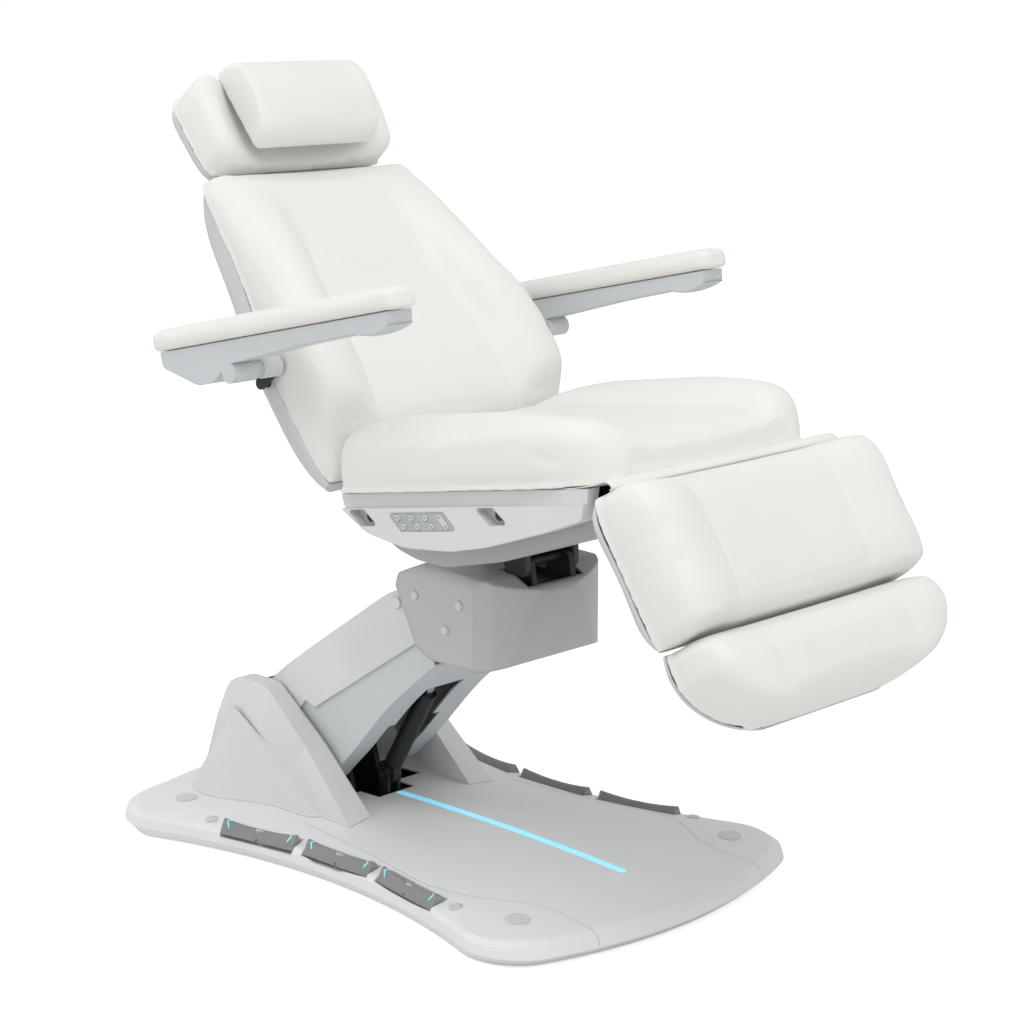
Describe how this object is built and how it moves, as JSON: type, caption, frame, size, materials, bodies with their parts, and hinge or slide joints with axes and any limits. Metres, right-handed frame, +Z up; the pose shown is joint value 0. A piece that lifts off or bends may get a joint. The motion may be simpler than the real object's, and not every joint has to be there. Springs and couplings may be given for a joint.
{
  "type": "podiatry chair",
  "caption": "Powered podiatry chair with white upholstery, reclining back, headrest pillow, leg and foot rest, armrests, parallel lift arm and a low base with rocker pedals.",
  "frame": {"origin": "on the floor under the middle of the base footprint", "axes": "+X towards the foot end, +Y to the sitter's left, +Z up"},
  "size_m": [1.5029, 0.836, 1.397],
  "materials": {
    "upholstery": "matte",
    "cover_plastic": "satin",
    "bowl_plastic": "satin",
    "beam_plastic": "satin",
    "pedal_plastic": "matte",
    "socket_black": "matte",
    "key_plastic": "satin",
    "frame_steel": "matte",
    "actuator_black": "satin",
    "rod_steel": "brushed",
    "led_light": "glossy"
  },
  "bodies": {
    "base": {"base_plate": "frame_steel", "base_cover": "cover_plastic", "led_strip": "led_light", "base_screw_caps": "cover_plastic", "tower_cover_left": "cover_plastic", "tower_cover_right": "cover_plastic", "tower_bracket": "frame_steel"},
    "lower_arm": {"lower_arm_frame": "frame_steel", "lower_arm_cover": "cover_plastic"},
    "upper_link": {"upper_link_bars": "frame_steel", "upper_arm_cover": "cover_plastic"},
    "lift_tube": {"lift_actuator_tube": "actuator_black"},
    "lift_rod": {"lift_actuator_rod": "rod_steel"},
    "head": {"head_frame": "frame_steel", "head_cover": "cover_plastic", "head_screw_caps": "cover_plastic", "tilt_actuator_tube": "actuator_black"},
    "tilt_rod": {"tilt_actuator_rod": "rod_steel"},
    "seat": {"seat_frame": "frame_steel", "seat_bowl": "bowl_plastic", "seat_side_cover_left": "cover_plastic", "seat_side_cover_right": "cover_plastic", "accessory_sockets": "socket_black", "keypad_panel": "bowl_plastic", "seat_cushion": "upholstery", "seat_flap": "upholstery", "back_actuator_tube": "actuator_black", "leg_actuator_tube": "actuator_black"},
    "back_rod": {"back_actuator_rod": "rod_steel"},
    "leg_rod": {"leg_actuator_rod": "rod_steel"},
    "back": {"back_frame": "frame_steel", "back_shell": "cover_plastic", "back_cushion": "upholstery"},
    "headrest": {"headrest_posts": "rod_steel", "headrest_shell": "cover_plastic", "headrest_cushion": "upholstery", "head_pillow": "upholstery"},
    "leg": {"leg_frame": "frame_steel", "leg_shell": "cover_plastic", "leg_cushion": "upholstery"},
    "foot": {"foot_rods": "rod_steel", "foot_shell": "cover_plastic", "foot_cushion": "upholstery"},
    "armrest_left": {"armrest_support_left": "beam_plastic", "armrest_pad_left": "upholstery"},
    "armrest_right": {"armrest_support_right": "beam_plastic", "armrest_pad_right": "upholstery"},
    "pedal_left_rear": {"pedal_left_rear": "pedal_plastic"},
    "pedal_left_middle": {"pedal_left_middle": "pedal_plastic"},
    "pedal_left_front": {"pedal_left_front": "pedal_plastic"},
    "pedal_right_rear": {"pedal_right_rear": "pedal_plastic"},
    "pedal_right_middle": {"pedal_right_middle": "pedal_plastic"},
    "pedal_right_front": {"pedal_right_front": "pedal_plastic"},
    "key_1_up": {"key_1_up": "key_plastic"},
    "key_1_down": {"key_1_down": "key_plastic"},
    "key_2_up": {"key_2_up": "key_plastic"},
    "key_2_down": {"key_2_down": "key_plastic"},
    "key_3_up": {"key_3_up": "key_plastic"},
    "key_3_down": {"key_3_down": "key_plastic"},
    "key_4_rocker": {"key_4_rocker": "key_plastic"}
  },
  "joints": [
    {"name": "lift", "type": "hinge", "parent": "base", "child": "lower_arm", "pos_m": [-0.26566, 0, 0.17671], "axis": [0, -1, 0], "range_deg": [-34, 8]},
    {"name": "link_swing", "type": "hinge", "parent": "base", "child": "upper_link", "pos_m": [-0.321, 0, 0.26], "axis": [0, -1, 0], "range_deg": [-34, 8]},
    {"name": "head_level", "type": "hinge", "parent": "lower_arm", "child": "head", "pos_m": [0.05835, 0, 0.39198], "axis": [0, -1, 0], "range_deg": [-8, 34]},
    {"name": "lift_tube_swing", "type": "hinge", "parent": "base", "child": "lift_tube", "pos_m": [-0.15, 0, 0.102], "axis": [0, -1, 0], "range_deg": [-37.3, 8.93]},
    {"name": "lift_rod_slide", "type": "slide", "parent": "lift_tube", "child": "lift_rod", "axis": [0.5118, 0, 0.8591], "range_m": [-0.07813, 0.01877]},
    {"name": "seat_tilt", "type": "hinge", "parent": "head", "child": "seat", "pos_m": [0.236, 0, 0.572], "axis": [0, -1, 0], "range_deg": [-6, 9]},
    {"name": "tilt_rod_slide", "type": "slide", "parent": "head", "child": "tilt_rod", "axis": [0.0322, 0, 0.9995], "range_m": [-0.01804, 0.01219]},
    {"name": "back_recline", "type": "hinge", "parent": "seat", "child": "back", "pos_m": [-0.0026, 0, 0.70729], "axis": [0, -1, 0], "range_deg": [-6, 50]},
    {"name": "back_rod_slide", "type": "slide", "parent": "seat", "child": "back_rod", "axis": [-0.988, 0, -0.1547], "range_m": [-0.03628, 0.00479]},
    {"name": "leg_raise", "type": "hinge", "parent": "seat", "child": "leg", "pos_m": [0.61313, 0, 0.78319], "axis": [0, -1, 0], "range_deg": [-8, 65]},
    {"name": "leg_rod_slide", "type": "slide", "parent": "seat", "child": "leg_rod", "axis": [0.9898, 0, 0.1427], "range_m": [-0.00588, 0.04418]},
    {"name": "foot_slide", "type": "slide", "parent": "leg", "child": "foot", "axis": [0.5446, 0, -0.8387], "range_m": [0, 0.08]},
    {"name": "headrest_slide", "type": "slide", "parent": "back", "child": "headrest", "axis": [-0.6334, 0, 0.7738], "range_m": [0, 0.07]},
    {"name": "armrest_left_swing", "type": "hinge", "parent": "back", "child": "armrest_left", "pos_m": [-0.094, 0.356, 0.90295], "axis": [0, -1, 0], "range_deg": [-50, 105]},
    {"name": "armrest_right_swing", "type": "hinge", "parent": "back", "child": "armrest_right", "pos_m": [-0.094, -0.356, 0.90295], "axis": [0, -1, 0], "range_deg": [-50, 105]},
    {"name": "pedal_right_rear_rock", "type": "hinge", "parent": "base", "child": "pedal_right_rear", "pos_m": [-0.176, -0.2925, 0.04575], "axis": [0.1771, -0.9842, 0], "range_deg": [-3, 3], "stiffness_Nm_per_rad": 12},
    {"name": "pedal_right_middle_rock", "type": "hinge", "parent": "base", "child": "pedal_right_middle", "pos_m": [0.017, -0.275, 0.04575], "axis": [0, -1, 0], "range_deg": [-3, 3], "stiffness_Nm_per_rad": 12},
    {"name": "pedal_right_front_rock", "type": "hinge", "parent": "base", "child": "pedal_right_front", "pos_m": [0.21, -0.2925, 0.04575], "axis": [-0.1771, -0.9842, 0], "range_deg": [-3, 3], "stiffness_Nm_per_rad": 12},
    {"name": "pedal_left_rear_rock", "type": "hinge", "parent": "base", "child": "pedal_left_rear", "pos_m": [-0.176, 0.2925, 0.04575], "axis": [-0.1771, -0.9842, 0], "range_deg": [-3, 3], "stiffness_Nm_per_rad": 12},
    {"name": "pedal_left_middle_rock", "type": "hinge", "parent": "base", "child": "pedal_left_middle", "pos_m": [0.017, 0.275, 0.04575], "axis": [0, -1, 0], "range_deg": [-3, 3], "stiffness_Nm_per_rad": 12},
    {"name": "pedal_left_front_rock", "type": "hinge", "parent": "base", "child": "pedal_left_front", "pos_m": [0.21, 0.2925, 0.04575], "axis": [0.1771, -0.9842, 0], "range_deg": [-3, 3], "stiffness_Nm_per_rad": 12},
    {"name": "key_1_up_press", "type": "slide", "parent": "seat", "child": "key_1_up", "axis": [0, 1, 0], "range_m": [0, 0.0012], "stiffness_N_per_m": 1500},
    {"name": "key_1_down_press", "type": "slide", "parent": "seat", "child": "key_1_down", "axis": [0, 1, 0], "range_m": [0, 0.0012], "stiffness_N_per_m": 1500},
    {"name": "key_2_up_press", "type": "slide", "parent": "seat", "child": "key_2_up", "axis": [0, 1, 0], "range_m": [0, 0.0012], "stiffness_N_per_m": 1500},
    {"name": "key_2_down_press", "type": "slide", "parent": "seat", "child": "key_2_down", "axis": [0, 1, 0], "range_m": [0, 0.0012], "stiffness_N_per_m": 1500},
    {"name": "key_3_up_press", "type": "slide", "parent": "seat", "child": "key_3_up", "axis": [0, 1, 0], "range_m": [0, 0.0012], "stiffness_N_per_m": 1500},
    {"name": "key_3_down_press", "type": "slide", "parent": "seat", "child": "key_3_down", "axis": [0, 1, 0], "range_m": [0, 0.0012], "stiffness_N_per_m": 1500},
    {"name": "key_4_rocker_press", "type": "slide", "parent": "seat", "child": "key_4_rocker", "axis": [0, 1, 0], "range_m": [0, 0.0012], "stiffness_N_per_m": 1500}
  ],
  "couplings": [
    {"joint": "link_swing", "follows": "lift", "ratio": 1},
    {"joint": "head_level", "follows": "lift", "ratio": -1},
    {"joint": "lift_tube_swing", "follows": "lift", "ratio": 1.0913},
    {"joint": "lift_rod_slide", "follows": "lift", "m_per_rad": 0.13082},
    {"joint": "tilt_rod_slide", "follows": "seat_tilt", "m_per_rad": -0.11165},
    {"joint": "back_rod_slide", "follows": "back_recline", "m_per_rad": -0.041},
    {"joint": "leg_rod_slide", "follows": "leg_raise", "m_per_rad": 0.0385}
  ]
}
